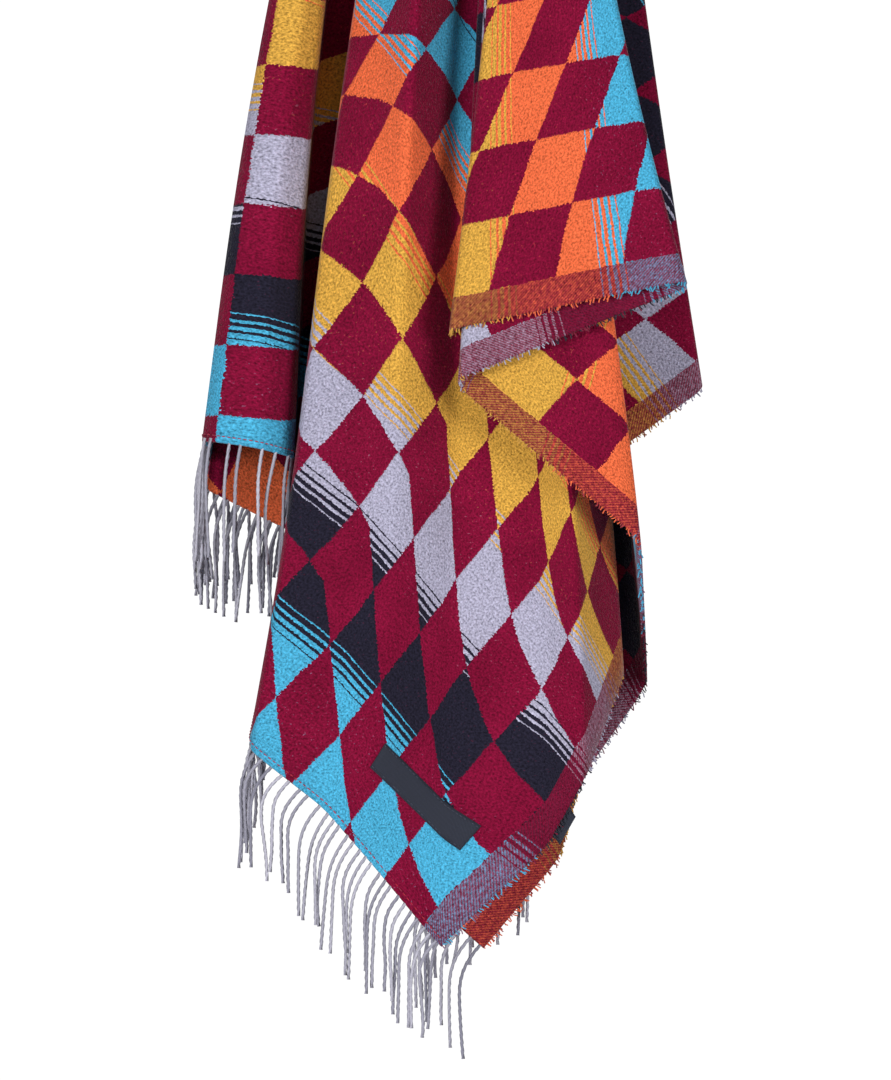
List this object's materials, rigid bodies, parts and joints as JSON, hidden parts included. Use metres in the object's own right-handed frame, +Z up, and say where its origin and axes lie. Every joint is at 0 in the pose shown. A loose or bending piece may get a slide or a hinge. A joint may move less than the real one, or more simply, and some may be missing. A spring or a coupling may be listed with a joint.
{
  "type": "hanging checkered blanket",
  "caption": "Wool throw blanket in a small checker weave, hung by its middle so that it falls in deep uneven folds, with fringed ends and sewn-on blank labels.",
  "frame": {"origin": "the hanging point at the top of the bunched middle of the cloth", "axes": "+Z up, the blanket hangs along -Z, and the side that the picture shows faces -Y, with +X to its right"},
  "size_m": [0.2883, 0.2887, 1.0907],
  "materials": {
    "check_wool": "brushed twill in maroon checks with bands of blue, black, grey, yellow and orange",
    "fringe_yarn": "loose twisted wool yarn",
    "label_tape": "plain woven tape, blank"
  },
  "bodies": {
    "root": {"blanket": "check_wool", "fringe_front": "fringe_yarn", "fringe_back": "fringe_yarn", "label": "label_tape", "side_tag": "label_tape"}
  },
  "joints": []
}
